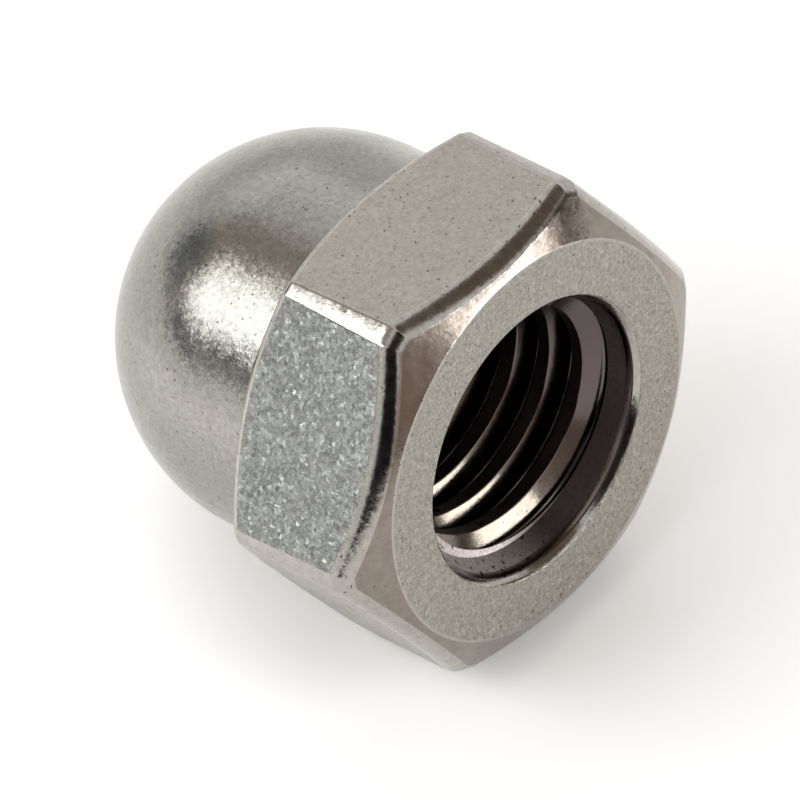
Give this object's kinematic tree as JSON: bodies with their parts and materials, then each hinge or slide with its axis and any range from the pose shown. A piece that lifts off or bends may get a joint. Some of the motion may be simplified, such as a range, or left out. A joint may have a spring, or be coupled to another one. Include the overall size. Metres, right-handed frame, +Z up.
{
  "type": "cap nut",
  "caption": "Domed hexagon cap nut in stainless steel with a blind M10 right-hand thread, lying on one flat and its dome.",
  "frame": {"origin": "on the ground, under the middle of the part's bounding box, as the nut lies at rest", "axes": "+Z up. The nut rests on the rear edge of its lower flat and on its dome. +X is the level direction that the mouth faces, and the thread axis lies in the XZ plane, rising 11.14 degrees from +X. +Y runs through two opposite corners of the hexagon."},
  "size_m": [0.0182, 0.0182, 0.0169],
  "materials": {
    "stainless": "tumbled"
  },
  "bodies": {
    "root": {"cap_nut": "stainless"}
  },
  "joints": []
}
